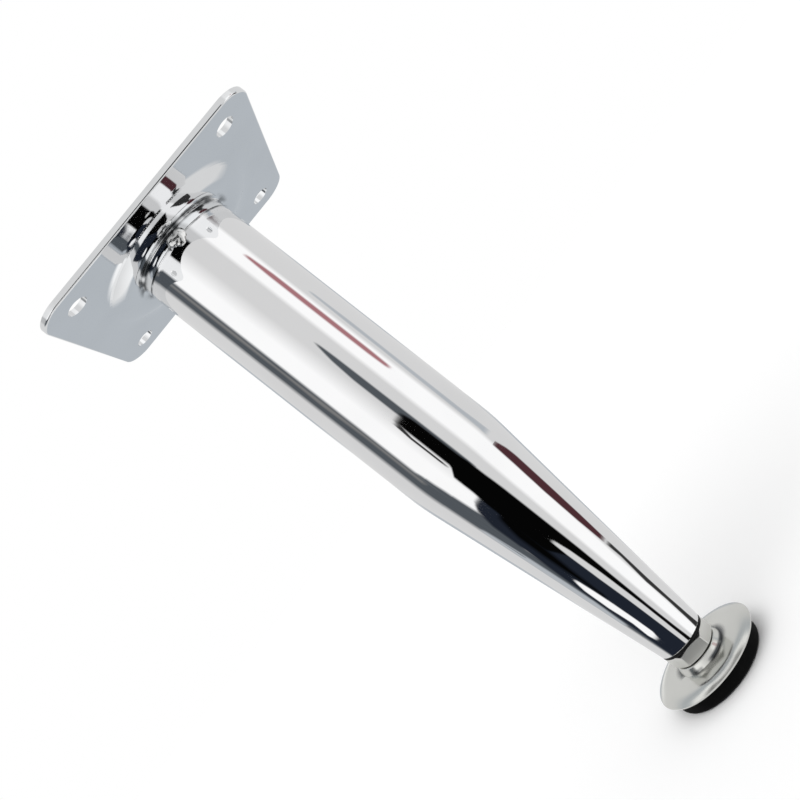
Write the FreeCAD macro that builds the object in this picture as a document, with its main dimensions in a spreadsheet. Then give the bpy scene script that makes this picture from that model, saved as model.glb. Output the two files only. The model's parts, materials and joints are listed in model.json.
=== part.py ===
"""Height adjustable furniture leg: screw-on plate, tapered chromed tube and screw-in glide foot.

Millimetres, +Z up. The leg stands as it is used: the plate is on top, its flat face up, and the
underside of the rubber pad is the plane z = 0. The axis of the tube is the Z axis, and the near
edge of the plate faces -Y. The foot is drawn fully screwed in.
"""
import FreeCAD, Part
import math
import os
import Sketcher

# Driving dimensions, in millimetres unless the name says otherwise
SIZES = (
    # mounting plate, pressed from one sheet
    ("plate_width", 80.0),
    ("plate_thickness", 1.8),
    ("plate_corner_radius", 8.0),
    ("plate_edge_roll", 0.5),
    ("hole_edge_distance", 10.0),
    ("hole_diameter", 6.5),
    ("bead_foot_diameter", 57.0),
    ("bead_curve_radius", 14.0),
    ("bead_foot_fillet", 2.0),
    ("crease_width", 1.0),
    ("crease_depth", 1.1),
    ("crease_fillet", 0.6),
    ("neck_height", 4.0),
    ("neck_wall", 1.6),
    ("neck_mouth_fillet", 1.8),
    # tube, straight and then swaged to a taper
    ("tube_diameter", 34.0),
    ("tube_wall", 1.2),
    ("tube_straight_length", 98.2),
    ("tube_taper_length", 81.3),
    ("tube_end_diameter", 16.2),
    ("tube_knee_radius", 80.0),
    ("tube_end_roll", 0.4),
    ("root_gap", 0.1),
    # tack welds round the joint of neck and tube
    ("weld_count", 3),
    ("weld_ball_radius", 3.0),
    ("weld_rise", 1.0),
    ("weld_offset", 0.3),
    # plastic plug in the end of the tube
    ("flange_diameter", 16.0),
    ("flange_thickness", 0.9),
    ("flange_edge_radius", 0.3),
    ("plug_fit_clearance", 0.05),
    ("barrel_length", 11.7),
    ("tongue_length", 12.0),
    ("tongue_lead_in", 2.0),
    ("tongue_wall_clearance", 0.3),
    ("tongue_bore_diameter", 9.2),
    ("slot_width", 1.6),
    # threaded steel bush in the plug
    ("bush_diameter", 11.0),
    ("bush_length", 12.0),
    ("bush_recess", 0.5),
    ("bush_groove_width", 2.0),
    ("bush_groove_depth", 0.6),
    # adjusting screw with its hexagonal collar
    ("thread_diameter", 7.9),
    ("thread_length", 30.0),
    ("thread_tip_chamfer", 1.0),
    ("thread_clearance", 0.05),
    ("hex_width", 14.0),
    ("hex_height", 4.2),
    ("hex_chamfer_height", 0.5),
    ("hex_turn_degrees", 8.0),
    ("pivot_diameter", 8.0),
    ("pivot_clearance", 0.05),
    ("rivet_head_diameter", 12.0),
    ("rivet_head_height", 1.2),
    ("turning_gap", 0.3),
    # glide disc, pressed from one sheet
    ("disc_diameter", 36.8),
    ("disc_thickness", 0.7),
    ("brim_width", 4.3),
    ("brim_radius", 9.0),
    ("hub_top_diameter", 15.0),
    ("hub_base_diameter", 16.8),
    ("hub_height", 2.0),
    ("hub_edge_radius", 0.5),
    # rubber pad under the disc
    ("pad_diameter", 32.2),
    ("pad_height", 6.2),
    ("pad_edge_radius", 1.4),
    ("pad_shoulder_width", 2.0),
    ("pad_shoulder_drop", 0.75),
)

# Levels above the floor, from the pad up
FLOOR = "0"
DISH_UNDERSIDE = "sizes.pad_height"
DISH_FLOOR = f"({DISH_UNDERSIDE} + sizes.disc_thickness)"
HUB_TOP = f"({DISH_FLOOR} + sizes.hub_height)"
HUB_UNDERSIDE = f"({HUB_TOP} - sizes.disc_thickness)"
RIVET_TOP = f"({HUB_UNDERSIDE} - sizes.turning_gap)"
RIVET_FOOT = f"({RIVET_TOP} - sizes.rivet_head_height)"
HEX_FOOT = f"({HUB_TOP} + sizes.turning_gap)"
HEX_TOP = f"({HEX_FOOT} + sizes.hex_height)"
FLANGE_FOOT = f"({HEX_TOP} + sizes.turning_gap)"
BUSH_FOOT = f"({FLANGE_FOOT} + sizes.bush_recess)"
BUSH_TOP = f"({BUSH_FOOT} + sizes.bush_length)"
GROOVE_FOOT = f"({BUSH_FOOT} + sizes.bush_length / 2 - sizes.bush_groove_width / 2)"
GROOVE_TOP = f"({GROOVE_FOOT} + sizes.bush_groove_width)"
TUBE_FOOT = f"({FLANGE_FOOT} + sizes.flange_thickness)"
TUBE_KNEE = f"({TUBE_FOOT} + sizes.tube_taper_length)"
TUBE_TOP = f"({TUBE_KNEE} + sizes.tube_straight_length)"
NECK_FOOT = f"({TUBE_TOP} + sizes.root_gap)"
PLATE_UNDERSIDE = f"({NECK_FOOT} + sizes.neck_height)"
PLATE_TOP = f"({PLATE_UNDERSIDE} + sizes.plate_thickness)"
CREASE_LEVEL = f"({PLATE_UNDERSIDE} - sizes.crease_depth)"

# Radii and slopes that several pieces or outlines share, and the radius of the axis itself
AXIS = "0"
TUBE_RADIUS = "(sizes.tube_diameter / 2)"
TUBE_END_RADIUS = "(sizes.tube_end_diameter / 2)"
NECK_BORE = f"({TUBE_RADIUS} - sizes.neck_wall)"
MOUTH_BORE = f"({TUBE_END_RADIUS} - sizes.tube_wall)"
TAPER_SLOPE = f"(({TUBE_RADIUS} - {TUBE_END_RADIUS}) / sizes.tube_taper_length)"
BUSH_WAIST = "(sizes.bush_diameter / 2 - sizes.bush_groove_depth)"
TAPER_ANGLE = f"atan({TAPER_SLOPE})"
HUB_BASE = "(sizes.hub_base_diameter / 2)"
BRIM_START = "(sizes.disc_diameter / 2 - sizes.brim_width)"
BRIM_ANGLE = "asin(sizes.brim_width / sizes.brim_radius)"
SCREW_BORE = "(sizes.thread_diameter / 2 + sizes.thread_clearance)"
PIVOT_BORE = "(sizes.pivot_diameter / 2 + sizes.pivot_clearance)"

# Which side of its way from corner to corner an arc bulges to
RIGHT = 1
LEFT = -1

TURN = 360.0
HEX_SIDES = 6
SLOT_COUNT = 4
HOLE_COUNT = 4
TOUCH = 1e-3


def make_document():
    """A new document with the sheet of driving dimensions."""
    doc = FreeCAD.newDocument("furniture_leg")
    sheet = doc.addObject("Spreadsheet::Sheet", "sizes")
    for row, (alias, size) in enumerate(SIZES, start=1):
        sheet.set(f"A{row}", alias)
        sheet.set(f"B{row}", str(size))
        sheet.setAlias(f"B{row}", alias)
    doc.recompute()
    return doc


def value(doc, expression):
    """The number that an expression in the sheet's names stands for."""
    return float(doc.sizes.evalExpression(expression))


def new_body(doc, label):
    """An empty body at the origin of the leg."""
    body = doc.addObject("PartDesign::Body", label)
    body.Label = label
    return body


def new_sketch(body, name, role, level=None):
    """A sketch on one of the body's own planes, raised to a level if one is given."""
    plane = [feature for feature in body.Origin.OriginFeatures if feature.Role == role][0]
    sketch = body.newObject("Sketcher::SketchObject", name)
    sketch.AttachmentSupport = (plane, [""])
    sketch.MapMode = "FlatFace"
    if level is not None:
        sketch.setExpression(".AttachmentOffset.Base.z", level)
    return sketch


def pin(sketch, geometry, point, across, along):
    """Ties one point of the sketch to two expressions, measured from the sketch's origin."""
    for kind, expression in (("DistanceX", across), ("DistanceY", along)):
        size = value(sketch.Document, expression)
        index = sketch.addConstraint(Sketcher.Constraint(kind, -1, 1, geometry, point, size))
        sketch.setExpression(f"Constraints[{index}]", expression)


def arc_centre(start, end, radius, side):
    """Centre of the arc from start to end that bulges to the given side."""
    middle = (start + end) * 0.5
    chord = end - start
    left = FreeCAD.Vector(-chord.y, chord.x, 0).normalize()
    rise = math.sqrt(radius * radius - chord.Length * chord.Length / 4)
    return middle + left * (side * rise)


def closed_profile(body, name, corners, role="XZ_Plane", level=None):
    """A closed outline. Each corner is (across, along), with (radius, side) after it for an arc
    that leads to the next corner."""
    sketch = new_sketch(body, name, role, level)
    doc = body.Document
    places = [FreeCAD.Vector(value(doc, corner[0]), value(doc, corner[1]), 0) for corner in corners]
    for index, corner in enumerate(corners):
        start = places[index]
        end = places[(index + 1) % len(corners)]
        if len(corner) == 2:
            sketch.addGeometry(Part.LineSegment(start, end), False)
        else:
            radius, side = corner[2:]
            add_arc(sketch, start, end, radius, side)
    first_points = [start_point(corner) for corner in corners]
    for index, corner in enumerate(corners):
        following = (index + 1) % len(corners)
        last_point = 3 - first_points[index]
        sketch.addConstraint(
            Sketcher.Constraint("Coincident", index, last_point, following, first_points[following]))
        pin(sketch, index, first_points[index], corner[0], corner[1])
    doc.recompute()
    return sketch


def start_point(corner):
    """Which end of its edge a corner is: arcs run anticlockwise, so some are drawn backwards."""
    return 2 if corner[-1] == LEFT else 1


def add_arc(sketch, start, end, radius, side):
    """An arc of a sheet's radius, added to a sketch between two points."""
    size = value(sketch.Document, radius)
    centre = arc_centre(start, end, size, side)
    first, last = (start, end) if side == RIGHT else (end, start)
    angles = [math.atan2(place.y - centre.y, place.x - centre.x) for place in (first, last)]
    circle = Part.Circle(centre, FreeCAD.Vector(0, 0, 1), size)
    geometry = sketch.addGeometry(Part.ArcOfCircle(circle, angles[0], angles[1]), False)
    index = sketch.addConstraint(Sketcher.Constraint("Radius", geometry, size))
    sketch.setExpression(f"Constraints[{index}]", radius)


def circle_sketch(body, name, across, along, radius, level=None):
    """A single circle, seen from above."""
    sketch = new_sketch(body, name, "XY_Plane", level)
    doc = body.Document
    centre = FreeCAD.Vector(value(doc, across), value(doc, along), 0)
    size = value(doc, radius)
    sketch.addGeometry(Part.Circle(centre, FreeCAD.Vector(0, 0, 1), size), False)
    pin(sketch, 0, 3, across, along)
    index = sketch.addConstraint(Sketcher.Constraint("Radius", 0, size))
    sketch.setExpression(f"Constraints[{index}]", radius)
    doc.recompute()
    return sketch


def revolve(body, name, sketch, kind="PartDesign::Revolution"):
    """Turns a section about the leg's axis, to add material or, as a groove, to cut it."""
    feature = body.newObject(kind, name)
    feature.Profile = sketch
    feature.ReferenceAxis = (sketch, ["V_Axis"])
    feature.Angle = TURN
    body.Document.recompute()
    return feature


def pad_down(body, name, sketch, length):
    """Extrudes a sketch downward by a length."""
    pad = body.newObject("PartDesign::Pad", name)
    pad.Profile = sketch
    pad.setExpression("Length", length)
    pad.Reversed = True
    body.Document.recompute()
    return pad


def cut_down(body, name, sketch, length):
    """Cuts a sketch downward by a length, and checks that the cut took material away."""
    before = body.Shape.Volume
    pocket = body.newObject("PartDesign::Pocket", name)
    pocket.Profile = sketch
    pocket.setExpression("Length", length)
    body.Document.recompute()
    if body.Shape.Volume > before - TOUCH:
        raise ValueError(f"{name} cut nothing")
    return pocket


def polar_pattern(body, name, feature, count):
    """Repeats a feature round the leg's axis."""
    axis = [item for item in body.Origin.OriginFeatures if item.Role == "Z_Axis"][0]
    pattern = body.newObject("PartDesign::PolarPattern", name)
    pattern.Originals = [feature]
    pattern.Axis = (axis, [""])
    pattern.Angle = TURN
    pattern.Occurrences = count
    body.Tip = pattern
    body.Document.recompute()
    return pattern


def rims(body, radius, level):
    """Names of the body's edges that are circles of this radius about the axis at this level."""
    wanted_radius = value(body.Document, radius)
    wanted_level = value(body.Document, level)
    names = []
    for number, edge in enumerate(body.Tip.Shape.Edges, start=1):
        if not isinstance(edge.Curve, Part.Circle):
            continue
        near = abs(edge.Curve.Radius - wanted_radius) < TOUCH
        if near and abs(edge.Curve.Center.z - wanted_level) < TOUCH:
            names.append(f"Edge{number}")
    return names


def fillet(body, name, edges, radius):
    """Rounds the named edges of the body."""
    if not edges:
        raise ValueError(f"{name} found no edge")
    rounded = body.Tip
    feature = body.newObject("PartDesign::Fillet", name)
    feature.Base = (rounded, edges)
    feature.setExpression("Radius", radius)
    body.Document.recompute()
    return feature


def upright_edges(shape):
    """Names of a shape's straight edges that run along Z."""
    names = []
    for number, edge in enumerate(shape.Edges, start=1):
        box = edge.BoundBox
        if box.ZLength > TOUCH and max(box.XLength, box.YLength) < TOUCH:
            names.append(f"Edge{number}")
    return names


def outline_edges(doc, body, level):
    """Names of the body's edges that lie at a level and outside the pressed bead."""
    wanted_level = value(doc, level)
    reach = value(doc, "sizes.plate_width / 2 - sizes.plate_corner_radius")
    names = []
    for number, edge in enumerate(body.Tip.Shape.Edges, start=1):
        box = edge.BoundBox
        level_edge = box.ZLength < TOUCH and abs(box.ZMin - wanted_level) < TOUCH
        if level_edge and max(abs(edge.CenterOfMass.x), abs(edge.CenterOfMass.y)) > reach:
            names.append(f"Edge{number}")
    return names


def mounting_plate(doc):
    """Square plate with rounded corners, four screw holes, a round bead and a drawn neck."""
    body = new_body(doc, "mounting_plate")
    half = "sizes.plate_width / 2"
    square = ((f"-{half}", f"-{half}"), (half, f"-{half}"), (half, half), (f"-{half}", half))
    sheet = pad_down(body, "sheet", closed_profile(body, "blank", square, "XY_Plane", PLATE_TOP),
                     "sizes.plate_thickness")
    fillet(body, "corners", upright_edges(sheet.Shape), "sizes.plate_corner_radius")
    fillet(body, "edge_roll", outline_edges(doc, body, PLATE_UNDERSIDE), "sizes.plate_edge_roll")
    foot = "sizes.bead_foot_diameter / 2"
    cut_down(body, "middle", circle_sketch(body, "middle_circle", AXIS, AXIS, foot, PLATE_TOP),
             "sizes.plate_thickness")
    revolve(body, "bead_and_neck", closed_profile(body, "pressed_section", pressed_section()))
    place = "sizes.plate_width / 2 - sizes.hole_edge_distance"
    hole = cut_down(body, "screw_hole", circle_sketch(body, "hole_circle", place, place,
                                                      "sizes.hole_diameter / 2", PLATE_TOP),
                    "sizes.plate_thickness")
    polar_pattern(body, "screw_holes", hole, HOLE_COUNT)
    mouth = f"({CREASE_LEVEL} + sizes.plate_thickness)"
    fillet(body, "mouth_rounding", rims(body, NECK_BORE, mouth), "sizes.neck_mouth_fillet")
    fillet(body, "crease_rounding", rims(body, TUBE_RADIUS, CREASE_LEVEL), "sizes.crease_fillet")
    fillet(body, "foot_rounding", rims(body, foot, PLATE_UNDERSIDE), "sizes.bead_foot_fillet")
    return body


def pressed_section():
    """Section of the bead and the neck: the sheet keeps its thickness as it bends."""
    foot = "sizes.bead_foot_diameter / 2"
    crease = f"({TUBE_RADIUS} + sizes.crease_width)"
    return (
        (foot, PLATE_TOP, "sizes.bead_curve_radius", LEFT),
        (crease, f"{CREASE_LEVEL} + sizes.plate_thickness"),
        (NECK_BORE, f"{CREASE_LEVEL} + sizes.plate_thickness"),
        (NECK_BORE, NECK_FOOT),
        (TUBE_RADIUS, NECK_FOOT),
        (TUBE_RADIUS, CREASE_LEVEL),
        (crease, CREASE_LEVEL, "sizes.bead_curve_radius", RIGHT),
        (foot, PLATE_UNDERSIDE),
    )


def knee_bend(radius, bend_radius):
    """Upper and lower end of the arc by which a wall of this radius turns into the taper."""
    reach = f"({bend_radius} * tan({TAPER_ANGLE} / 2))"
    upper = (radius, f"{TUBE_KNEE} + {reach}")
    lower = (f"{radius} - {reach} * sin({TAPER_ANGLE})", f"{TUBE_KNEE} - {reach} * cos({TAPER_ANGLE})")
    return upper, lower


def leg_tube(doc):
    """Tube that is straight under the plate and then swaged to a taper."""
    body = new_body(doc, "leg_tube")
    bore = f"({TUBE_RADIUS} - sizes.tube_wall)"
    inner_bend = "(sizes.tube_knee_radius - sizes.tube_wall)"
    inner_start, inner_end = knee_bend(bore, inner_bend)
    outer_start, outer_end = knee_bend(TUBE_RADIUS, "sizes.tube_knee_radius")
    section = (
        (TUBE_RADIUS, TUBE_TOP),
        (bore, TUBE_TOP),
        (*inner_start, inner_bend, LEFT),
        inner_end,
        (MOUTH_BORE, TUBE_FOOT),
        (TUBE_END_RADIUS, TUBE_FOOT),
        (*outer_end, "sizes.tube_knee_radius", RIGHT),
        outer_start,
    )
    revolve(body, "swaged_wall", closed_profile(body, "wall_section", section))
    fillet(body, "end_roll", rims(body, TUBE_END_RADIUS, TUBE_FOOT), "sizes.tube_end_roll")
    return body


def tack_welds(doc):
    """Weld beads across the joint of neck and tube, each seated on their common surface."""
    level = f"({NECK_FOOT} - sizes.weld_offset)"
    reach = f"({TUBE_RADIUS} + sizes.weld_rise - sizes.weld_ball_radius)"
    core = doc.addObject("Part::Cylinder", "weld_seat")
    core.setExpression("Radius", TUBE_RADIUS)
    core.setExpression("Height", "4 * sizes.weld_ball_radius")
    core.setExpression(".Placement.Base.z", f"{level} - 2 * sizes.weld_ball_radius")
    beads = []
    for number in range(round(value(doc, "sizes.weld_count"))):
        turn = f"(({number} / sizes.weld_count - 1 / 4) * {TURN} * 1deg)"
        drop = doc.addObject("Part::Sphere", f"weld_drop_{number + 1}")
        drop.setExpression("Radius", "sizes.weld_ball_radius")
        drop.setExpression(".Placement.Base.x", f"{reach} * cos({turn})")
        drop.setExpression(".Placement.Base.y", f"{reach} * sin({turn})")
        drop.setExpression(".Placement.Base.z", level)
        bead = doc.addObject("Part::Cut", f"weld_bead_{number + 1}")
        bead.Base = drop
        bead.Tool = core
        beads.append(bead)
    welds = doc.addObject("Part::Compound", "tack_welds")
    welds.Label = "tack_welds"
    welds.Links = beads
    doc.recompute()
    return welds


def end_plug(doc):
    """Moulded plug: a flange on the tube's end, a barrel in its mouth and four sprung tongues."""
    body = new_body(doc, "end_plug")
    barrel = f"{MOUTH_BORE} - sizes.plug_fit_clearance"
    barrel_top = f"({TUBE_FOOT} + sizes.barrel_length)"
    tongue_top = f"({barrel_top} + sizes.tongue_length)"
    grip_level = f"({tongue_top} - sizes.tongue_lead_in)"
    grip = f"{MOUTH_BORE} + ({grip_level} - {TUBE_FOOT}) * {TAPER_SLOPE} - sizes.tongue_wall_clearance"
    section = (
        ("sizes.bush_diameter / 2", FLANGE_FOOT),
        ("sizes.flange_diameter / 2", FLANGE_FOOT),
        ("sizes.flange_diameter / 2", TUBE_FOOT),
        (barrel, TUBE_FOOT),
        (barrel, barrel_top),
        (grip, grip_level),
        (barrel, tongue_top),
        ("sizes.tongue_bore_diameter / 2", tongue_top),
        ("sizes.tongue_bore_diameter / 2", BUSH_TOP),
        ("sizes.bush_diameter / 2", BUSH_TOP),
        ("sizes.bush_diameter / 2", GROOVE_TOP),
        (BUSH_WAIST, GROOVE_TOP),
        (BUSH_WAIST, GROOVE_FOOT),
        ("sizes.bush_diameter / 2", GROOVE_FOOT),
    )
    revolve(body, "moulding", closed_profile(body, "moulding_section", section))
    half_slot = "sizes.slot_width / 2"
    reach = "sizes.tube_diameter / 2"
    slot = ((AXIS, f"-{half_slot}"), (reach, f"-{half_slot}"),
            (reach, half_slot), (AXIS, half_slot))
    cut = cut_down(body, "slot", closed_profile(body, "slot_outline", slot, "XY_Plane", tongue_top),
                   "sizes.tongue_length")
    polar_pattern(body, "slots", cut, SLOT_COUNT)
    fillet(body, "flange_rounding", rims(body, "sizes.flange_diameter / 2", FLANGE_FOOT),
           "sizes.flange_edge_radius")
    return body


def thread_bush(doc):
    """Steel bush moulded into the plug, which grips it by a groove. The screw runs in it."""
    body = new_body(doc, "thread_bush")
    section = (
        (SCREW_BORE, BUSH_FOOT),
        ("sizes.bush_diameter / 2", BUSH_FOOT),
        ("sizes.bush_diameter / 2", GROOVE_FOOT),
        (BUSH_WAIST, GROOVE_FOOT),
        (BUSH_WAIST, GROOVE_TOP),
        ("sizes.bush_diameter / 2", GROOVE_TOP),
        ("sizes.bush_diameter / 2", BUSH_TOP),
        (SCREW_BORE, BUSH_TOP),
    )
    revolve(body, "turned_bush", closed_profile(body, "bush_section", section))
    return body


def adjuster_screw(doc):
    """Screw with a hexagonal collar, and a pivot under it that is riveted into the disc."""
    body = new_body(doc, "adjuster_screw")
    corner_radius = "sizes.hex_width / sqrt(3)"
    corners = []
    for number in range(HEX_SIDES):
        angle = f"({number} * {TURN / HEX_SIDES} - sizes.hex_turn_degrees) * 1deg"
        corners.append((f"{corner_radius} * cos({angle})", f"{corner_radius} * sin({angle})"))
    pad_down(body, "hex_collar", closed_profile(body, "hexagon", corners, "XY_Plane", HEX_TOP),
             "sizes.hex_height")
    outside = f"{corner_radius} + sizes.hex_chamfer_height"
    for name, level, inward in (("upper", HEX_TOP, -1), ("lower", HEX_FOOT, 1)):
        inner_level = f"{level} + {inward} * sizes.hex_chamfer_height"
        chamfer = (
            ("sizes.hex_width / 2", level),
            (outside, level),
            (outside, inner_level),
            (corner_radius, inner_level),
        )
        revolve(body, f"{name}_chamfer", closed_profile(body, f"{name}_chamfer_section", chamfer),
                "PartDesign::Groove")
    thread = "sizes.thread_diameter / 2"
    tip = f"({HEX_TOP} + sizes.thread_length)"
    shank = (
        (AXIS, f"{HEX_TOP} - sizes.hex_height / 2"),
        (thread, f"{HEX_TOP} - sizes.hex_height / 2"),
        (thread, f"{tip} - sizes.thread_tip_chamfer"),
        (f"{thread} - sizes.thread_tip_chamfer", tip),
        (AXIS, tip),
    )
    revolve(body, "threaded_shank", closed_profile(body, "shank_section", shank))
    pivot = (
        (AXIS, f"{HEX_TOP} - sizes.hex_height / 2"),
        (AXIS, RIVET_FOOT),
        ("sizes.rivet_head_diameter / 2 - sizes.rivet_head_height / 2", RIVET_FOOT),
        ("sizes.rivet_head_diameter / 2", f"{RIVET_FOOT} + sizes.rivet_head_height / 2"),
        ("sizes.rivet_head_diameter / 2", RIVET_TOP),
        ("sizes.pivot_diameter / 2", RIVET_TOP),
        ("sizes.pivot_diameter / 2", f"{HEX_TOP} - sizes.hex_height / 2"),
    )
    revolve(body, "riveted_pivot", closed_profile(body, "pivot_section", pivot))
    return body


def brim_edge(radius):
    """Where a face of the brim, an arc of this radius round the brim's centre, meets its edge."""
    return (f"{BRIM_START} + {radius} * sin({BRIM_ANGLE})",
            f"{DISH_FLOOR} - sizes.brim_radius + {radius} * cos({BRIM_ANGLE})")


def glide_disc(doc):
    """Pressed disc: a raised hub, a flat dish round it and a brim that curves down to its edge."""
    body = new_body(doc, "glide_disc")
    thickness = "sizes.disc_thickness"
    inner_radius = f"(sizes.brim_radius - {thickness})"
    hub_top = "(sizes.hub_top_diameter / 2)"
    section = (
        (PIVOT_BORE, HUB_TOP),
        (hub_top, HUB_TOP),
        (HUB_BASE, DISH_FLOOR),
        (BRIM_START, DISH_FLOOR, "sizes.brim_radius", LEFT),
        brim_edge("sizes.brim_radius"),
        (*brim_edge(inner_radius), inner_radius, RIGHT),
        (BRIM_START, DISH_UNDERSIDE),
        (f"{HUB_BASE} - {thickness}", DISH_UNDERSIDE),
        (f"{hub_top} - {thickness}", HUB_UNDERSIDE),
        (PIVOT_BORE, HUB_UNDERSIDE),
    )
    revolve(body, "pressed_disc", closed_profile(body, "disc_section", section))
    fillet(body, "hub_rounding", rims(body, hub_top, HUB_TOP), "sizes.hub_edge_radius")
    return body


def glide_pad(doc):
    """Rubber pad: a flat top bonded under the dish, a sloped shoulder and a rounded foot."""
    body = new_body(doc, "glide_pad")
    outside = "sizes.pad_diameter / 2"
    section = (
        (AXIS, DISH_UNDERSIDE),
        (AXIS, FLOOR),
        (outside, FLOOR),
        (outside, f"{DISH_UNDERSIDE} - sizes.pad_shoulder_drop"),
        (f"{outside} - sizes.pad_shoulder_width", DISH_UNDERSIDE),
    )
    revolve(body, "moulded_pad", closed_profile(body, "pad_section", section))
    fillet(body, "foot_rounding", rims(body, outside, FLOOR), "sizes.pad_edge_radius")
    return body


def main():
    """Builds every piece, checks it and writes its file."""
    doc = make_document()
    pieces = [make(doc) for make in (
        mounting_plate, leg_tube, tack_welds, end_plug, thread_bush, adjuster_screw, glide_disc,
        glide_pad)]
    doc.recompute()
    for item in doc.Objects:
        if "Invalid" in item.State or "Error" in item.State:
            raise ValueError(f"{item.Name} failed: {item.State}")
    for piece in pieces:
        if piece.Shape.isNull() or not piece.Shape.isValid():
            raise ValueError(f"{piece.Label} has no valid shape")
    os.makedirs("parts", exist_ok=True)
    for piece in pieces:
        piece.Shape.exportStep(os.path.join("parts", f"{piece.Label}.step"))
        box = piece.Shape.BoundBox
        print(piece.Label, len(piece.Shape.Solids), round(piece.Shape.Volume, 1),
              [round(side, 2) for side in (box.XMin, box.YMin, box.ZMin, box.XMax, box.YMax, box.ZMax)])


main()
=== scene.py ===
"""Looks of the height adjustable furniture leg: chrome, nickel, plastic and rubber in a white studio.

Metres, +Z up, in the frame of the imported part. Angles round the leg are counted from -Y, the side
that is near in the photograph, towards +X.
"""
import json
import math
import random

import bmesh
import bpy
from mathutils import Matrix, Vector


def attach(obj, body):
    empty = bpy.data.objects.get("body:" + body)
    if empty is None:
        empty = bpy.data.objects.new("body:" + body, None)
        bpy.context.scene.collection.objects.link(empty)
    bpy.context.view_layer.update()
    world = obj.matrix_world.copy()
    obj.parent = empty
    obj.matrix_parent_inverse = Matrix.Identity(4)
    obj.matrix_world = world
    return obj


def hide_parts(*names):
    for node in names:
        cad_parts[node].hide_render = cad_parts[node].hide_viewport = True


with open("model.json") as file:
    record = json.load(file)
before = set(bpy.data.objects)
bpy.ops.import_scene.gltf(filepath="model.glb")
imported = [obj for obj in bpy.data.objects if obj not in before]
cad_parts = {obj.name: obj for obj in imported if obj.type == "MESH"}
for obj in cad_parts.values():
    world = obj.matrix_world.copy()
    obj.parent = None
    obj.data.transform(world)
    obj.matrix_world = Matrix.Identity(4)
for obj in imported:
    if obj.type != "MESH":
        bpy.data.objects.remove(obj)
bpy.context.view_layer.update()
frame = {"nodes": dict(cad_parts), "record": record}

MM = 0.001

# The photograph's camera
CAMERA_PLACE = (-9.62 * MM, -245.65 * MM, 112.55 * MM)
CAMERA_RIGHT = (0.6171, -0.0117, -0.7868)
CAMERA_UP = (0.7850, -0.0601, 0.6166)
CAMERA_FORWARD = (0.0545, 0.9981, 0.0279)
CAMERA_LENS = 38.09
CAMERA_SENSOR = 36.0
CAMERA_CLIP = 10 * MM

# Studio: a white world, a pale floor and one broad soft lamp
FLOOR_SIZE = 12.0
FLOOR_COLOUR = (0.93, 0.93, 0.93)
WORLD_SEEN = 1.0
WORLD_DIFFUSE = 0.86
LAMP_STRENGTH = 0.95
LAMP_ANGLE = 50.0
LAMP_AZIMUTH = -35.0
LAMP_ELEVATION = 58.0

# Outline of the tube, for placing what it mirrors
TUBE_RADIUS = 17.0 * MM
KNEE_TOP = 100.3 * MM
KNEE_RADIUS = 80.0 * MM
TAPER = 0.1095

# Plain tones of the studio's cloth and cards
WHITE = (250, 250, 250)
PALE = (210, 210, 210)
SILVER = (175, 180, 185)
GREY = (120, 120, 120)
SLATE_GREY = (80, 85, 90)
CHARCOAL = (50, 50, 50)
NAVY = (30, 35, 45)
BLACK = (5, 5, 5)
WINE = (75, 45, 50)
ROSE = (165, 115, 120)

# Tent and cards that only the polished metal sees, each card in one plain tone. They are set where the
# photograph's camera sees them mirrored in the tube: by level on the tube and by azimuth round it
CHROME_SHARE = 0.84
TENT_RADIUS = 4000 * MM
TENT_CENTRE = (0.0, 0.0, 100 * MM)
TENT_SEGMENTS = 64
TENT_RINGS = 32
BANDS_LEVEL = 150 * MM
BANDS = (
    (-89, WHITE), (-78, PALE), (-52, PALE), (-47, SLATE_GREY), (-37.5, SLATE_GREY), (-34.5, WHITE),
    (-20, WHITE), (-4, PALE), (14, PALE), (18, WHITE), (33, WHITE), (37, PALE), (75, PALE), (89, WHITE),
)
UNDERGLOW = PALE
UNDERGLOW_FULL = -66.0
UNDERGLOW_START = -52.0
CEILING_START = (21.0, 25.0)
REAR_START = (115.0, 145.0)
REAR_CEILING_START = (9.0, 16.0)
CEILING = (
    (9, PALE), (28, PALE), (38, SILVER), (46, SILVER), (51, WHITE), (59, WHITE), (65, GREY), (90, PALE),
)
CARD_DISTANCE = 1400 * MM
CARD_STEP = 1.0
CARD_FADE = 1.5
CARD_COLUMNS = 14
FIGURE = (
    (117.5, -8.5, 0.5), (113, -9.2, 2.6), (97, -9.2, 3.2), (94.5, -16, 4), (88, -16.5, 4.5),
    (82, -18, 5.5), (70, -20, 6), (62, -20, 6.5), (56, -8, 6.8), (30, -6, 6.2), (20, -6, 7),
    (12, -6, 9), (-45, -20, 16),
)
WEDGE = (
    (147, 2.5, 3.5), (140, -0.8, 4.2), (132, -2.3, 4.4), (118, -2.3, 4.6), (112, -1, 4.8),
    (92, 0, 5),
)
OUTRIGGER = (
    (117, -11.5, -7.5), (110, -12.8, -10.8), (97, -12.4, -10.8),
)
COAT = (
    (86, -22, -8), (83, -30, -8), (78, -34.5, -8), (66, -36, -8), (56, -38, -6), (44, -40, -5),
    (30, -42, -4), (20, -44, -4), (12, -46, -4), (-45, -62, 0),
)
SLEEVE = (
    (79, -22, -14), (70, -28, -18), (62, -28.5, -19), (54, -28, -21.5), (46, -26.5, -22.5),
    (40, -25.5, -23),
)
SLATE = (
    (104, -37.5, -35.5), (94, -38, -32.5), (84, -38, -31), (76, -38, -28), (66, -38, -24),
)
PALE_STRIP = (
    (80, -49.5, -46.5), (66, -49.5, -43.5), (52, -49.5, -42), (42, -49.5, -42), (30, -49.5, -45),
)
LEFT_GLINT = (
    (51, -32, -30), (46, -36, -28.5), (38, -37, -26.5), (30, -35, -25.8), (24, -38, -26),
    (21, -36, -30),
)
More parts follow.
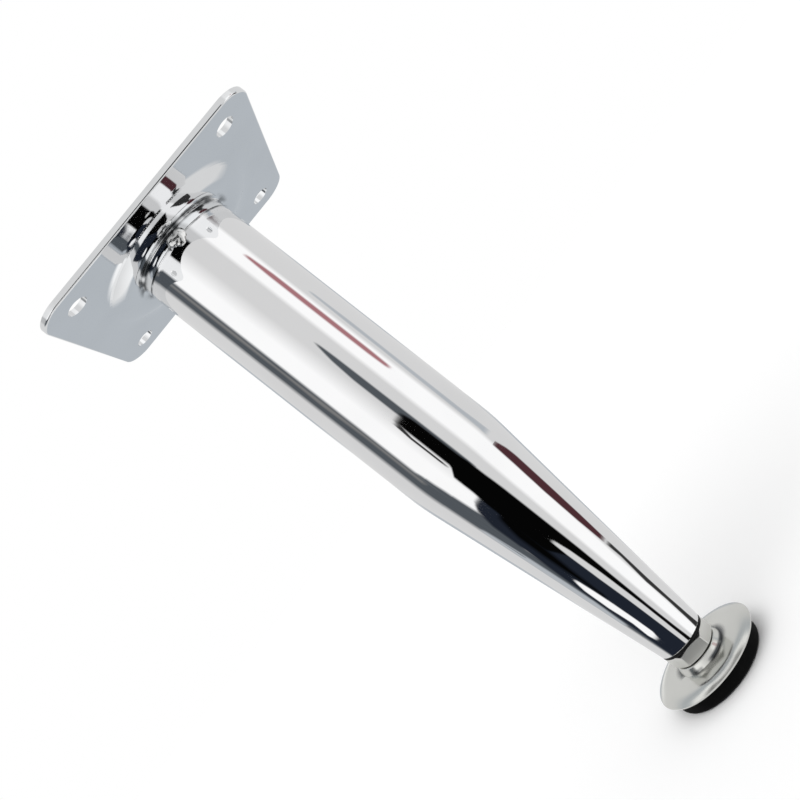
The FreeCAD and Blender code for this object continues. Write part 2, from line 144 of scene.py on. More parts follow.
MIDDLE_GLINT = (
    (63, -8.5, -6), (57, -9.2, -2.8), (46, -8.6, -0.4), (32, -6.8, 1.2), (12, -6.4, 1.2),
)
RED_STREAK = (
    (92.5, 33.5, 38), (88, 33.5, 42.5), (84, 33.5, 44), (72, 33, 44.5), (60, 34, 44.5),
    (50, 36.5, 43.5),
)
LOW_STREAK = (
    (50, 36.5, 43.5), (44, 38, 43.5), (34, 34.5, 42.5), (26, 36, 43), (19, 35.5, 45), (12, 33, 49),
    (-45, 24, 64),
)
PINK_STREAK = (
    (178, 27.5, 29.8), (173, 26.8, 30.6), (168, 26.3, 31.4), (150, 26.3, 31.4), (134, 26.5, 31.2),
    (126, 27.5, 30.5),
)
GREY_LINE = (
    (158, 41, 43), (144, 40, 44.2), (132, 40, 44), (118, 39, 43.5), (104, 38.4, 43.2), (97, 38, 44),
    (94, 37, 45),
)
OUTER_FOLD = (
    (190, -46, -43), (172, -45.5, -43.5), (158, -47.5, -44), (142, -46, -43.5), (128, -46, -43),
    (112, -46, -43), (97, -46, -43), (84, -46, -43), (64, -46, -43),
)
INNER_FOLD = (
    (190, -41.5, -39), (178, -42, -39), (165, -42, -38.5), (150, -41.5, -39.5), (135, -42.5, -38.5),
    (120, -40.5, -38), (98, -41, -38.5),
)
CARDS = (
    ("outer_fold", 1.0, 1.0, SLATE_GREY, OUTER_FOLD), ("inner_fold", 0.99, 1.2, GREY, INNER_FOLD),
    ("wedge", 1.0, 0.8, SLATE_GREY, WEDGE), ("slate", 1.0, 1.5, SLATE_GREY, SLATE),
    ("pale_strip", 1.0, 1.5, SILVER, PALE_STRIP), ("coat", 0.99, 1.4, NAVY, COAT),
    ("sleeve", 0.985, 2.4, BLACK, SLEEVE), ("figure", 0.98, 0.9, BLACK, FIGURE),
    ("outrigger", 0.98, 0.4, CHARCOAL, OUTRIGGER), ("left_glint", 0.97, 0.9, WHITE, LEFT_GLINT),
    ("middle_glint", 0.97, 0.7, PALE, MIDDLE_GLINT), ("red_streak", 1.0, 0.9, WINE, RED_STREAK),
    ("low_streak", 1.0, 0.9, CHARCOAL, LOW_STREAK), ("pink_streak", 1.0, 1.0, ROSE, PINK_STREAK),
    ("grey_line", 1.0, 0.9, SILVER, GREY_LINE),
)

# Silver card behind the leg, which the underside of the plate mirrors
BACK_CARD_PLACE = 600 * MM
BACK_CARD_HALF_WIDTH = 420 * MM
BACK_CARD_FOOT = -190 * MM
BACK_CARD_TOP = 90 * MM
BACK_CARD_SOFTNESS = 80 * MM

# Small silver card close behind the plate, for the far side of its bead
NEAR_CARD_PLACE = 130 * MM
NEAR_CARD_HALF_WIDTH = 95 * MM
NEAR_CARD_FOOT = 125 * MM
NEAR_CARD_TOP = 218 * MM
NEAR_CARD_SOFTNESS = 22 * MM

# Plated metal: scales of its patterns, the limits between which they show, and their share of the
# roughness
HAZE_SCALE = 55.0
HAZE_TONE_LIMITS = (0.35, 0.75)
HAZE_ROUGHNESS_LIMITS = (0.3, 0.8)
SPECK_SCALE = 900.0
SPECK_LIMITS = (0.66, 0.78)
SPECK_SHARE = 0.35
GRAIN_SHARE = 0.6
WAVE_SCALE = 70.0

# Moulded plastic and rubber: scale of the dust and the limits between which it shows
DUST_SCALE = 130.0
DUST_LIMITS = (0.52, 0.86)
DUST_ROUGHNESS_LIMITS = (0.25, 0.8)

# Pressed plate: how softly the bead's foot runs out
BEAD_FOOT_RADIUS = 28.5 * MM
BEAD_FOOT_REACH = 4.0 * MM
BEAD_FOOT_FILL = 0.4 * MM
BEAD_FOOT_ROUNDING = 0.4 * MM

# Painted shade in the creases, dark patches where shade and dark reflections fall: radii and levels
# between which it runs out
NECK_PAINTED_SHADE = ((17.2 * MM, 19.8 * MM), (196.6 * MM, 195.6 * MM))
TUBE_END_PAINTED_SHADOW = ((18.0 * MM, 19.0 * MM), (193.85 * MM, 193.45 * MM))
HUB_PAINTED_SHADE = ((8.2 * MM, 10.6 * MM), (7.2 * MM, 7.9 * MM))
PAINTED_SHADE_PATCH_SCALE = 150.0
PAINTED_SHADE_PATCH_LIMITS = (0.36, 0.56)
PAINTED_SHADE_ROUGHNESS = 0.15
PAINTED_SHADE_COLOUR = (0.07, 0.075, 0.08)

# Adjusting screw, as the solid has it, with its thread cut
THREAD_RADIUS = 3.95 * MM
THREAD_DEPTH = 0.72 * MM
THREAD_PITCH = 1.25 * MM
THREAD_TIP = 43.4 * MM
THREAD_TIP_CHAMFER = 1.0 * MM
THREAD_RUN_OUT = 1.2 * MM
THREAD_SEGMENTS = 64
THREAD_STEPS_PER_TURN = 14
THREAD_CREST_SHARE = 0.12
THREAD_FLANK_SHARE = 0.70
AXIS_RADIUS = 0.02 * MM
HEX_WIDTH = 14.0 * MM
HEX_FOOT = 9.2 * MM
HEX_TOP = 13.4 * MM
HEX_CHAMFER = 0.5 * MM
HEX_TURN = math.radians(-8.0)
HEX_CORNER_ROUNDING = 0.45 * MM
HEX_SIDES = 6
HEX_END_SHARE = 0.8
SCREW_SHARP_ANGLE = math.radians(40)
PIVOT_RADIUS = 4.0 * MM
RIVET_RADIUS = 6.0 * MM
RIVET_TOP = 7.9 * MM
RIVET_FOOT = 6.7 * MM

# Weld beads across the joint of neck and tube
JOINT_LEVEL = 194.15 * MM
WELD_COUNT = 3
WELD_DROPS = ((-1.35, 0.45), (0.15, -0.55), (1.4, 0.35))
WELD_LIFT_SPREAD = 0.2
WELD_DROP_RADIUS = (1.7, 2.0)
WELD_DROP_RISE = (0.75, 0.95)
WELD_UP_SHARE = 0.95
WELD_SEED = 7
WELD_SHARP_ANGLE = math.radians(60)
WELD_REACH = 3.6 * MM
WELD_SINK = 0.08 * MM
WELD_GRID = 56

# Points nearer than this are joined
MERGE_DISTANCE = 1e-7


def linear(grey):
    """Linear light of a grey from 0 to 255 as the eye sees it."""
    share = grey / 255
    if share <= 0.04045:
        return share / 12.92
    return ((share + 0.055) / 1.055) ** 2.4


class Shader:
    """A node tree with short calls to fill it."""

    def __init__(self, tree):
        self.tree = tree
        tree.nodes.clear()

    def node(self, kind, settings=None, **inputs):
        """A node, its settings, and its inputs by name or by number, as values or as links."""
        made = self.tree.nodes.new(kind)
        for name, setting in (settings or {}).items():
            setattr(made, name, setting)
        for name, given in inputs.items():
            numbered = name[0] == "i" and name[1:].isdigit()
            socket = made.inputs[int(name[1:]) if numbered else name.replace("_", " ")]
            if isinstance(given, bpy.types.NodeSocket):
                self.tree.links.new(given, socket)
            else:
                socket.default_value = given
        return made

    def math(self, operation, first, second=0.0, third=0.0):
        """The result of one sum."""
        made = self.node("ShaderNodeMath", {"operation": operation}, i0=first, i1=second, i2=third)
        return made.outputs[0]

    def step(self, value, low, high, at_low=0.0, at_high=1.0):
        """A smooth step from one value to another between two limits."""
        made = self.node("ShaderNodeMapRange", {"interpolation_type": "SMOOTHSTEP"},
                         i0=value, i1=low, i2=high, i3=at_low, i4=at_high)
        return made.outputs[0]

    def blend(self, share, first, second):
        """A colour between two colours."""
        made = self.node("ShaderNodeMix", {"data_type": "RGBA"}, i0=share, i6=first, i7=second)
        return made.outputs[2]

    def end(self, kind, shader):
        """Links the last shader to the output."""
        self.tree.links.new(shader, self.node(kind).inputs["Surface"])


def new_material(name):
    """A material and the calls that fill it."""
    made = bpy.data.materials.new(name)
    made.use_nodes = True
    return made, Shader(made.node_tree)


def grey_colour(level):
    """An opaque grey colour."""
    return (level, level, level, 1.0)


def make_camera():
    """The photograph's camera, rolled as it was held."""
    camera = bpy.data.objects.new("camera", bpy.data.cameras.new("camera"))
    bpy.context.scene.collection.objects.link(camera)
    axes = Matrix((CAMERA_RIGHT, CAMERA_UP, [-part for part in CAMERA_FORWARD])).transposed()
    camera.matrix_world = Matrix.Translation(CAMERA_PLACE) @ axes.to_4x4()
    camera.data.lens = CAMERA_LENS
    camera.data.sensor_width = CAMERA_SENSOR
    camera.data.clip_start = CAMERA_CLIP
    bpy.context.scene.camera = camera


def make_world():
    """White where it is seen, softer where it lights; the tent stands before it in polished metal."""
    world = bpy.data.worlds.new("studio")
    world.use_nodes = True
    shader = Shader(world.node_tree)
    path = shader.node("ShaderNodeLightPath")
    seen = shader.math("MAXIMUM", path.outputs["Is Camera Ray"], path.outputs["Is Glossy Ray"])
    seen = shader.math("MAXIMUM", seen, path.outputs["Is Transmission Ray"])
    white = grey_colour(1.0)
    lit = shader.node("ShaderNodeBackground", Color=white, Strength=WORLD_DIFFUSE)
    shown = shader.node("ShaderNodeBackground", Color=white, Strength=WORLD_SEEN)
    mixed = shader.node("ShaderNodeMixShader", i0=seen, i1=lit.outputs[0], i2=shown.outputs[0])
    shader.end("ShaderNodeOutputWorld", mixed.outputs[0])
    world.cycles_visibility.glossy = False
    bpy.context.scene.world = world


def mesh_object(name, mesh_data):
    """An object at the world's origin, linked to the scene."""
    made = bpy.data.objects.new(name, mesh_data)
    bpy.context.scene.collection.objects.link(made)
    return made


def sheet_mesh(name, corners):
    """A single flat face."""
    mesh = bpy.data.meshes.new(name)
    mesh.from_pydata(corners, [], [(0, 1, 2, 3)])
    return mesh


def make_floor():
    """A pale floor for the shadow, kept from the polished metal. It stays under the pad."""
    half = FLOOR_SIZE / 2
    corners = [(-half, -half, 0), (half, -half, 0), (half, half, 0), (-half, half, 0)]
    floor = mesh_object("floor", sheet_mesh("floor", corners))
    paint, shader = new_material("floor_paint")
    diffuse = shader.node("ShaderNodeBsdfDiffuse", Color=(*FLOOR_COLOUR, 1.0))
    shader.end("ShaderNodeOutputMaterial", diffuse.outputs[0])
    floor.data.materials.append(paint)
    floor.visible_glossy = False
    floor.constraints.new("COPY_LOCATION").target = frame["nodes"]["glide_pad"]


def make_lamp():
    """One broad lamp, high on the left in front."""
    light = bpy.data.lights.new("soft_lamp", "SUN")
    light.energy = LAMP_STRENGTH
    light.angle = math.radians(LAMP_ANGLE)
    lamp = bpy.data.objects.new("soft_lamp", light)
    bpy.context.scene.collection.objects.link(lamp)
    azimuth, elevation = math.radians(LAMP_AZIMUTH), math.radians(LAMP_ELEVATION)
    towards = Vector((math.sin(azimuth) * math.cos(elevation), -math.cos(azimuth) * math.cos(elevation),
                      math.sin(elevation)))
    lamp.rotation_mode = "QUATERNION"
    lamp.rotation_quaternion = towards.to_track_quat("Z", "Y")
    lamp.visible_glossy = False


def only_in_reflections(thing):
    """Hides a stage piece from everything but polished metal."""
    thing.visible_camera = False
    thing.visible_diffuse = False
    thing.visible_transmission = False
    thing.visible_shadow = False


def light_colour(colour, share=1.0):
    """Linear colour that a card glows with so that the chrome shows the given colour."""
    return (*[linear(part) / CHROME_SHARE for part in colour], share)


def tube_wall(level):
    """Radius of the tube at a level, and how fast it narrows there on the way down."""
    depth = max(KNEE_TOP - level, 0.0)
    bend = TAPER * KNEE_RADIUS
    if depth < bend:
        return TUBE_RADIUS - depth ** 2 / (2 * KNEE_RADIUS), depth / KNEE_RADIUS
    return TUBE_RADIUS - TAPER * (depth - bend / 2), TAPER


def mirrored(level, azimuth, distance):
    """Where the camera's ray goes on to, at a distance from the leg, when the tube mirrors it."""
    radius, lean = tube_wall(level)
    turn = math.radians(azimuth)
    place = Vector((radius * math.sin(turn), -radius * math.cos(turn), level))
    outward = Vector((math.sin(turn), -math.cos(turn), -lean)).normalized()
    ray = (place - Vector(CAMERA_PLACE)).normalized().reflect(outward)
    reach = ray.xy.length_squared
    along = place.xy.dot(ray.xy)
    run = (math.sqrt(along ** 2 + reach * (distance ** 2 - radius ** 2)) - along) / reach
    return place + ray * run


def colour_ramp(shader, value, low, high, rows):
    """Card colours that run evenly from row to row of (value, colour)."""
    share = shader.node("ShaderNodeMapRange", i0=value, i1=low, i2=high).outputs[0]
    ramp = shader.node("ShaderNodeValToRGB", Fac=share)
    stops = ramp.color_ramp.elements
    for index, (place, colour) in enumerate(rows):
        share = (place - low) / (high - low)
        stop = stops[index] if index < len(stops) else stops.new(share)
        stop.position = share
        stop.color = light_colour(colour)
    return ramp.outputs["Color"]


def make_tent():
    """The tent: upright bands of grey, with even light from below and from above."""
    mesh = bpy.data.meshes.new("tent")
    shell = bmesh.new()
    bmesh.ops.create_uvsphere(shell, u_segments=TENT_SEGMENTS, v_segments=TENT_RINGS,
                              radius=TENT_RADIUS, matrix=Matrix.Translation(TENT_CENTRE))
    shell.to_mesh(mesh)
    shell.free()
    tent = mesh_object("tent", mesh)
    cloth, shader = new_material("tent_cloth")
    place = shader.node("ShaderNodeTexCoord").outputs["Object"]
    seen = shader.node("ShaderNodeVectorMath", {"operation": "SUBTRACT"}, i0=place, i1=TENT_CENTRE)
    parts = shader.node("ShaderNodeSeparateXYZ", i0=seen.outputs[0]).outputs
    towards = shader.math("MULTIPLY", parts[1], -1.0)
    azimuth = shader.math("DEGREES", shader.math("ARCTAN2", parts[0], towards))
    lift = shader.math("DIVIDE", parts[2], TENT_RADIUS)
    elevation = shader.math("DEGREES", shader.math("ARCSINE", lift))

    bands = []
    for angle, colour in BANDS:
        place = mirrored(BANDS_LEVEL, angle, TENT_RADIUS)
        bands.append((math.degrees(math.atan2(place.x, -place.y)), colour))
    around = colour_ramp(shader, azimuth, -180.0, 180.0, bands)
    under = shader.step(elevation, UNDERGLOW_FULL, UNDERGLOW_START, 1.0, 0.0)
    colour = shader.blend(under, around, light_colour(UNDERGLOW))
    above = colour_ramp(shader, elevation, 0.0, 90.0, CEILING)
    rear = shader.step(shader.math("ABSOLUTE", azimuth), *REAR_START)
    rear = shader.math("MULTIPLY", rear, shader.step(elevation, *REAR_CEILING_START))
    over = shader.math("MAXIMUM", rear, shader.step(elevation, *CEILING_START))
    colour = shader.blend(over, colour, above)
    glow = shader.node("ShaderNodeEmission", Color=colour, Strength=1.0)
    shader.end("ShaderNodeOutputMaterial", glow.outputs[0])
    mesh.materials.append(cloth)
    only_in_reflections(tent)


def glow_material():
    """Glows with the colour kept on the mesh and is see-through where that colour is."""
    made, shader = new_material("card_glow")
    kept = shader.node("ShaderNodeAttribute", {"attribute_name": "glow"}).outputs
    clear = shader.node("ShaderNodeBsdfTransparent").outputs[0]
    glow = shader.node("ShaderNodeEmission", Color=kept["Color"], Strength=1.0).outputs[0]
    mixed = shader.node("ShaderNodeMixShader", i0=kept["Alpha"], i1=clear, i2=glow)
    shader.end("ShaderNodeOutputMaterial", mixed.outputs[0])
    return made


def make_sheet(name, rows, material):
    """A glowing sheet through rows of (place, colour with its share)."""
    across = len(rows[0])
    points = [point for row in rows for point in row]
    faces = [(start + step, start + step + 1, start + step + 1 + across, start + step + across)
             for start in range(0, (len(rows) - 1) * across, across) for step in range(across - 1)]
    mesh = bpy.data.meshes.new(name)
    mesh.from_pydata([place for place, _ in points], [], faces)
    glow = mesh.color_attributes.new("glow", "FLOAT_COLOR", "POINT")
    for kept, (_, colour) in zip(glow.data, points):
        kept.color = colour
    mesh.materials.append(material)
    only_in_reflections(mesh_object(name, mesh))


def row_at(rows, level):
    """Left and right edge of a card at a level between two of its rows."""
    for upper, lower in zip(rows, rows[1:]):
        if level >= lower[0]:
            share = (upper[0] - level) / (upper[0] - lower[0])
            return [upper[i] + (lower[i] - upper[i]) * share for i in (1, 2)]
    return rows[-1][1:]


def make_cards():
    """The cards in front of the leg, each with soft edges."""
    material = glow_material()
    for name, nearness, softness, tone, outline in CARDS:
        top, foot = outline[0][0], outline[-1][0]
        count = math.ceil((top - foot) / CARD_STEP)
        rows = []
        for number in range(count + 1):
            level = top + (foot - top) * number / count
            left, right = row_at(outline, level)
            ends = min((top - level) / CARD_FADE, (level - foot) / CARD_FADE, 1.0)
            soft = min(softness, (right - left) / 2)
            turns = [(left - soft, 0.0)]
            for step in range(CARD_COLUMNS + 1):
                turn = left + soft + (right - left - 2 * soft) * step / CARD_COLUMNS
                turns.append((turn, ends))
            turns.append((right + soft, 0.0))
            distance = CARD_DISTANCE * nearness
            rows.append([(mirrored(level * MM, turn, distance), light_colour(tone, share))
                         for turn, share in turns])
        make_sheet(name, rows, material)
    make_flat_card("back_card", BACK_CARD_PLACE, BACK_CARD_HALF_WIDTH, (BACK_CARD_FOOT, BACK_CARD_TOP),
                   BACK_CARD_SOFTNESS, material)
    make_flat_card("near_card", NEAR_CARD_PLACE, NEAR_CARD_HALF_WIDTH, (NEAR_CARD_FOOT, NEAR_CARD_TOP),
                   NEAR_CARD_SOFTNESS, material)


def make_flat_card(name, place, half_width, levels, softness, material):
    """An upright silver card behind the leg, soft at its edges."""
    foot, top = levels
    sides = (-half_width, softness - half_width, half_width - softness, half_width)
    rows = []
    for row, level in enumerate((foot, foot + softness, top - softness, top)):
        line = []
        for column, side in enumerate(sides):
            share = 1.0 if row in (1, 2) and column in (1, 2) else 0.0
            line.append((Vector((side, place, level)), light_colour(SILVER, share)))
        rows.append(line)
    make_sheet(name, rows, material)


def stretched(shader, stretch):
    """The piece's own coordinates, in metres, multiplied along each axis."""
    place = shader.node("ShaderNodeTexCoord").outputs["Object"]
    made = shader.node("ShaderNodeVectorMath", {"operation": "MULTIPLY"}, i0=place, i1=stretch)
    return made.outputs[0]


def noise(shader, place, scale, detail=2.0, roughness=0.5):
    """A soft random pattern from 0 to 1."""
    made = shader.node("ShaderNodeTexNoise", Vector=place, Scale=scale, Detail=detail,
                       Roughness=roughness)
    return made.outputs[0]


def distance_from_axis(shader):
    """How far a point of the piece is from the leg's axis."""
    flat = stretched(shader, (1.0, 1.0, 0.0))
    return shader.node("ShaderNodeVectorMath", {"operation": "LENGTH"}, i0=flat).outputs["Value"]


def bead_relief(shader):
    """Height that lets the foot of the pressed bead run out softly into the plate."""
    away = shader.math("SUBTRACT", distance_from_axis(shader), BEAD_FOOT_RADIUS)
    away = shader.math("SQRT", shader.math("MULTIPLY_ADD", away, away, BEAD_FOOT_ROUNDING ** 2))
    near = shader.math("SUBTRACT", BEAD_FOOT_REACH, away)
    share = shader.math("DIVIDE", shader.math("MAXIMUM", near, 0.0), BEAD_FOOT_REACH)
    return shader.math("MULTIPLY", shader.math("MULTIPLY", share, share), BEAD_FOOT_FILL)


def painted_crease_shade(shader, radii, levels):
    """Share of patchy painted shade in a ring that runs out from one radius, and from one level."""
    outward = shader.step(distance_from_axis(shader), *radii, 1.0, 0.0)
    place = shader.node("ShaderNodeTexCoord").outputs["Object"]
    level = shader.node("ShaderNodeSeparateXYZ", i0=place).outputs[2]
    first, last = levels
    if first < last:
        upward = shader.step(level, first, last, 1.0, 0.0)
    else:
        upward = shader.step(level, last, first)
    ring = shader.math("MULTIPLY", outward, upward)
    patches = noise(shader, stretched(shader, (1.0, 1.0, 0.2)), PAINTED_SHADE_PATCH_SCALE, 2.0)
    return shader.math("MULTIPLY", ring, shader.step(patches, *PAINTED_SHADE_PATCH_LIMITS))


def metal(name, colour, worn_colour, roughness, grain, grain_stretch, wave_height, grain_height,
          relief=None, painted_shade_ring=None):
    """Plated metal: slow waves from the pressing or drawing, polishing grain and faint haze, and
    painted shade in a crease ring where one is given.
    """
    made, shader = new_material(name)
    plain = stretched(shader, (1.0, 1.0, 1.0))
    haze = noise(shader, plain, HAZE_SCALE, 4.0)
    lines = noise(shader, stretched(shader, grain_stretch), grain, 3.0, 0.6)
    speck = shader.step(noise(shader, plain, SPECK_SCALE, 2.0), *SPECK_LIMITS)
    tone = shader.step(haze, *HAZE_TONE_LIMITS)
    base = shader.blend(tone, (*colour, 1.0), (*worn_colour, 1.0))
    low, high = roughness
    rough = shader.step(haze, *HAZE_ROUGHNESS_LIMITS, low, high)
    # Painted shade: dark patches blended into the base colour in the crease ring, with some extra
    # roughness there
    if painted_shade_ring:
        painted_shade_share = painted_crease_shade(shader, *painted_shade_ring)
        base = shader.blend(painted_shade_share, base, (*PAINTED_SHADE_COLOUR, 1.0))
        rough = shader.math("MULTIPLY_ADD", painted_shade_share, PAINTED_SHADE_ROUGHNESS, rough)
    rough = shader.math("MULTIPLY_ADD", lines, (high - low) * GRAIN_SHARE, rough)
    rough = shader.math("MULTIPLY_ADD", speck, high * SPECK_SHARE, rough)
    wave = shader.node("ShaderNodeBump", Height=noise(shader, plain, WAVE_SCALE, 1.0),
                       Distance=wave_height, Strength=1.0)
    if relief:
        wave = shader.node("ShaderNodeBump", Height=relief(shader), Distance=1.0, Strength=1.0,
                           Normal=wave.outputs[0])
    grained = shader.node("ShaderNodeBump", Height=lines, Distance=grain_height, Strength=1.0,
                          Normal=wave.outputs[0])
    surface = shader.node("ShaderNodeBsdfPrincipled", Base_Color=base, Roughness=rough, Metallic=1.0,
                          Normal=grained.outputs[0])
    shader.end("ShaderNodeOutputMaterial", surface.outputs[0])
    return made


def moulded(name, colour, dust_colour, roughness, grain, grain_height, sheen):
    """Moulded plastic or rubber: a fine eroded grain, with dust and haze on it."""
    made, shader = new_material(name)
    plain = stretched(shader, (1.0, 1.0, 1.0))
    haze = noise(shader, plain, DUST_SCALE, 5.0, 0.6)
    pits = noise(shader, plain, grain, 3.0, 0.7)
    dust = shader.step(haze, *DUST_LIMITS)
    base = shader.blend(dust, (*colour, 1.0), (*dust_colour, 1.0))
    low, high = roughness
    rough = shader.step(haze, *DUST_ROUGHNESS_LIMITS, low, high)
    grained = shader.node("ShaderNodeBump", Height=pits, Distance=grain_height, Strength=1.0)
    surface = shader.node("ShaderNodeBsdfPrincipled", Base_Color=base, Roughness=rough,
                          Specular_IOR_Level=sheen, Normal=grained.outputs[0])
    shader.end("ShaderNodeOutputMaterial", surface.outputs[0])
    return made


def make_materials():
    """One finish for each of the record's slots."""
    even = (1.0, 1.0, 1.0)
    along = (1.0, 1.0, 0.04)
    across = (0.05, 1.0, 1.0)
    # The plate, tube and disc get painted shade rings at the neck, the tube's end and the hub
    return {
        "plate_chrome": metal("plate_chrome", (0.83, 0.84, 0.85), (0.80, 0.81, 0.82), (0.03, 0.05),
                              700.0, across, 0.06 * MM, 0.0004 * MM, bead_relief, NECK_PAINTED_SHADE),
        "tube_chrome": metal("tube_chrome", (0.84, 0.84, 0.845), (0.82, 0.82, 0.825), (0.018, 0.03),
                             900.0, along, 0.02 * MM, 0.0002 * MM, None, TUBE_END_PAINTED_SHADOW),
        "weld_metal": metal("weld_metal", (0.84, 0.84, 0.84), (0.70, 0.70, 0.69), (0.06, 0.16),
                            1500.0, even, 0.04 * MM, 0.001 * MM),
        "bush_steel": metal("bush_steel", (0.60, 0.60, 0.58), (0.50, 0.50, 0.48), (0.22, 0.34),
                            1800.0, even, 0.01 * MM, 0.001 * MM),
        "screw_nickel": metal("screw_nickel", (0.88, 0.88, 0.85), (0.80, 0.80, 0.77), (0.32, 0.42),
                              1600.0, even, 0.02 * MM, 0.001 * MM),
        "disc_nickel": metal("disc_nickel", (0.70, 0.70, 0.67), (0.65, 0.65, 0.62), (0.14, 0.20),
                             1500.0, even, 0.03 * MM, 0.0015 * MM, None, HUB_PAINTED_SHADE),
        "black_plastic": moulded("black_plastic", (0.006, 0.006, 0.006), (0.015, 0.015, 0.015),
                                 (0.34, 0.52), 3200.0, 0.012 * MM, 0.12),
        "pad_rubber": moulded("pad_rubber", (0.003, 0.003, 0.003), (0.012, 0.012, 0.011),
                              (0.55, 0.78), 2600.0, 0.02 * MM, 0.05),
    }


def lathe(mesh, rings, segments):
    """Adds rings of points, each (radius, level) for every step round the axis, to a mesh."""
    rows = []
    for ring in rings:
        row = []
        for step in range(segments):
            angle = math.tau * step / segments
            radius, level = ring(angle) if callable(ring) else ring
            row.append(mesh.verts.new((radius * math.cos(angle), radius * math.sin(angle), level)))
        rows.append(row)
    join_rows(mesh, rows)
    return rows


def join_rows(mesh, rows):
    """Faces between closed rows of points."""
    for lower, upper in zip(rows, rows[1:]):
        count = len(lower)
        for step in range(count):
            following = (step + 1) % count
            mesh.faces.new((lower[step], lower[following], upper[following], upper[step]))


def thread_ring(level):
    """Ring of the threaded shank: a right-hand ridge of 60 degree flanks with a rounded root."""
    room = min((level - HEX_TOP) / THREAD_RUN_OUT, 1.0)
    tip_room = max(THREAD_TIP - level, 0.0)

    def ring(angle):
        phase = (level / THREAD_PITCH - angle / math.tau) % 1.0
        away = abs(phase - 0.5) * 2
        flank = min(max((away - THREAD_CREST_SHARE) / THREAD_FLANK_SHARE, 0.0), 1.0)
        depth = THREAD_DEPTH * flank * room
        crest = THREAD_RADIUS - max(THREAD_TIP_CHAMFER - tip_room, 0.0)
        return min(THREAD_RADIUS - depth, crest), level
    return ring


def hexagon_outline():
    """Points of the collar's hexagon, with its corners rounded."""
    reach = (HEX_WIDTH / 2 - HEX_CORNER_ROUNDING) / math.cos(math.pi / HEX_SIDES)
    arc_steps = 6
    points = []
    for corner in range(HEX_SIDES):
        middle = corner * math.tau / HEX_SIDES + HEX_TURN
        centre = Vector((math.cos(middle), math.sin(middle))) * reach
        for step in range(arc_steps + 1):
            angle = middle + (step / arc_steps - 0.5) * math.tau / HEX_SIDES
            points.append(centre + Vector((math.cos(angle), math.sin(angle))) * HEX_CORNER_ROUNDING)
    side_steps = 6
    outline = []
    for index, point in enumerate(points):
        following = points[(index + 1) % len(points)]
        outline.append(point)
        if (index + 1) % (arc_steps + 1) == 0:
            outline += [point.lerp(following, step / side_steps) for step in range(1, side_steps)]
    return outline


def add_hexagon(mesh):
    """The collar: six sides whose upper and lower ends are turned to a cone."""
    outline = hexagon_outline()
    flat = HEX_WIDTH / 2
    corner = flat / math.cos(math.pi / HEX_SIDES)
    rows = []
    for row_kind in range(6):
        row = []
        for point in outline:
            rise = HEX_CHAMFER * (point.length - flat) / (corner - flat)
            rise = max(rise, 0.0)
            inner = point.normalized() * min(flat, point.length)
            centre = point.normalized() * THREAD_RADIUS * HEX_END_SHARE
            place, level = (
                (centre, HEX_FOOT), (inner, HEX_FOOT), (point, HEX_FOOT + rise),
                (point, HEX_TOP - rise), (inner, HEX_TOP), (centre, HEX_TOP))[row_kind]
            row.append(mesh.verts.new((place.x, place.y, level)))
        rows.append(row)
    join_rows(mesh, rows)


def finish_mesh(mesh, name, sharp_angle):
    """Turns a bmesh into a smooth-shaded object with its sharper edges kept crisp."""
    bmesh.ops.remove_doubles(mesh, verts=mesh.verts, dist=MERGE_DISTANCE)
    bmesh.ops.recalc_face_normals(mesh, faces=mesh.faces)
    for face in mesh.faces:
        face.smooth = True
    for edge in mesh.edges:
        edge.smooth = len(edge.link_faces) == 2 and edge.calc_face_angle(0.0) < sharp_angle
    data = bpy.data.meshes.new(name)
    mesh.to_mesh(data)
    mesh.free()
    return mesh_object(name, data)


def make_screw(material):
    """The adjusting screw: cut thread, hexagonal collar, pivot and rivet head."""
    mesh = bmesh.new()
    step = THREAD_PITCH / THREAD_STEPS_PER_TURN
    count = math.ceil((THREAD_TIP - HEX_TOP) / step)
    levels = [HEX_TOP + (THREAD_TIP - HEX_TOP) * index / count for index in range(count + 1)]
    lathe(mesh, [thread_ring(level) for level in levels] + [(AXIS_RADIUS, THREAD_TIP)], THREAD_SEGMENTS)
    add_hexagon(mesh)
    head = (RIVET_TOP - RIVET_FOOT) / 2
    lathe(mesh, [(PIVOT_RADIUS, HEX_FOOT), (PIVOT_RADIUS, RIVET_TOP), (RIVET_RADIUS, RIVET_TOP),
                 (RIVET_RADIUS, RIVET_FOOT + head), (RIVET_RADIUS - head, RIVET_FOOT),
                 (AXIS_RADIUS, RIVET_FOOT)], THREAD_SEGMENTS)
    screw = finish_mesh(mesh, "screw_with_thread", SCREW_SHARP_ANGLE)
    screw.data.materials.append(material)
    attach(screw, "screw")
    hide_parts("adjuster_screw")


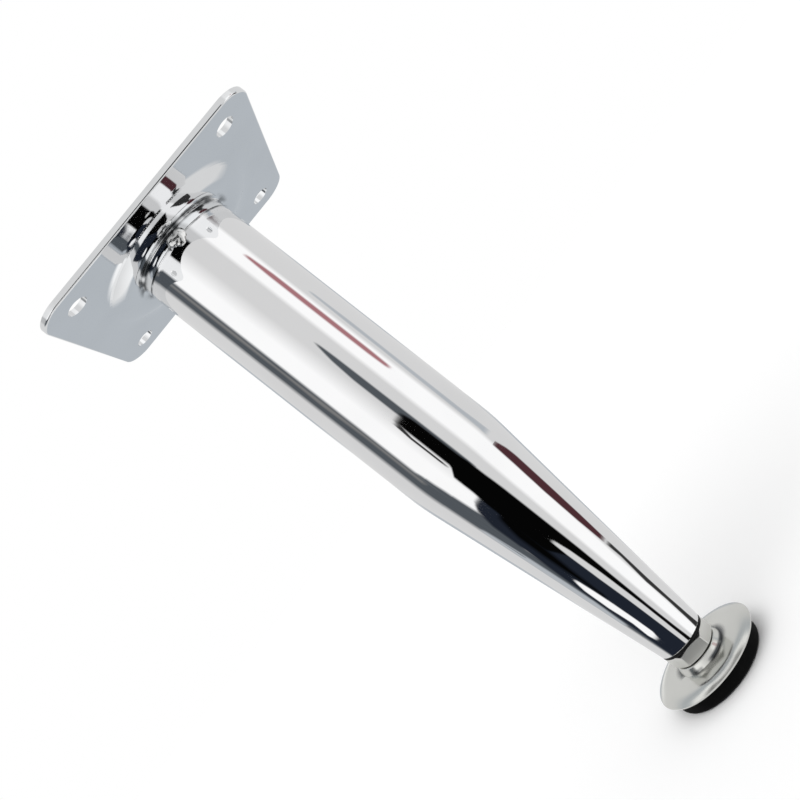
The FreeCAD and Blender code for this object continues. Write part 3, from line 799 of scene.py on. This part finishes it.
def weld_height(across, up, drops):
    """How far a bead stands out from the tube: the highest of its frozen drops, run together."""
    total = 0.0
    for place_across, place_up, radius, rise in drops:
        distance = math.hypot(across - place_across, (up - place_up) * WELD_UP_SHARE) / radius
        if distance < 1:
            total += (rise * math.sqrt(1 - distance ** 2)) ** 3
    return total ** (1 / 3) - WELD_SINK


def make_welds(material):
    """Beads of weld across the joint, each of a few drops, chromed over with the rest."""
    chance = random.Random(WELD_SEED)
    mesh = bmesh.new()
    for number in range(WELD_COUNT):
        middle = math.tau * number / WELD_COUNT - math.tau / 4
        drops = []
        for place, lift in WELD_DROPS:
            lift += chance.uniform(-WELD_LIFT_SPREAD, WELD_LIFT_SPREAD)
            radius = chance.uniform(*WELD_DROP_RADIUS)
            rise = chance.uniform(*WELD_DROP_RISE)
            drops.append((place * MM, lift * MM, radius * MM, rise * MM))
        rows = []
        for row in range(WELD_GRID + 1):
            up = (row / WELD_GRID - 0.5) * 2 * WELD_REACH
            line = []
            for column in range(WELD_GRID + 1):
                across = (column / WELD_GRID - 0.5) * 2 * WELD_REACH
                radius = TUBE_RADIUS + weld_height(across, up, drops)
                angle = middle + across / TUBE_RADIUS
                line.append(mesh.verts.new(
                    (radius * math.cos(angle), radius * math.sin(angle), JOINT_LEVEL + up)))
            rows.append(line)
        for lower, upper in zip(rows, rows[1:]):
            for column in range(WELD_GRID):
                mesh.faces.new((lower[column], lower[column + 1], upper[column + 1], upper[column]))
    welds = finish_mesh(mesh, "weld_beads", WELD_SHARP_ANGLE)
    welds.data.materials.append(material)
    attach(welds, "leg")
    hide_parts("tack_welds")


def dress_solids(materials):
    """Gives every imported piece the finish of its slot."""
    for part in frame["record"]["subparts"]:
        solid = frame["nodes"][part["node"]]
        solid.data.materials.clear()
        solid.data.materials.append(materials[part["material_slot"]])


bpy.context.scene.view_settings.view_transform = "Standard"
make_camera()
make_world()
make_floor()
make_lamp()
make_tent()
make_cards()
finishes = make_materials()
dress_solids(finishes)
make_screw(finishes["screw_nickel"])
make_welds(finishes["weld_metal"])
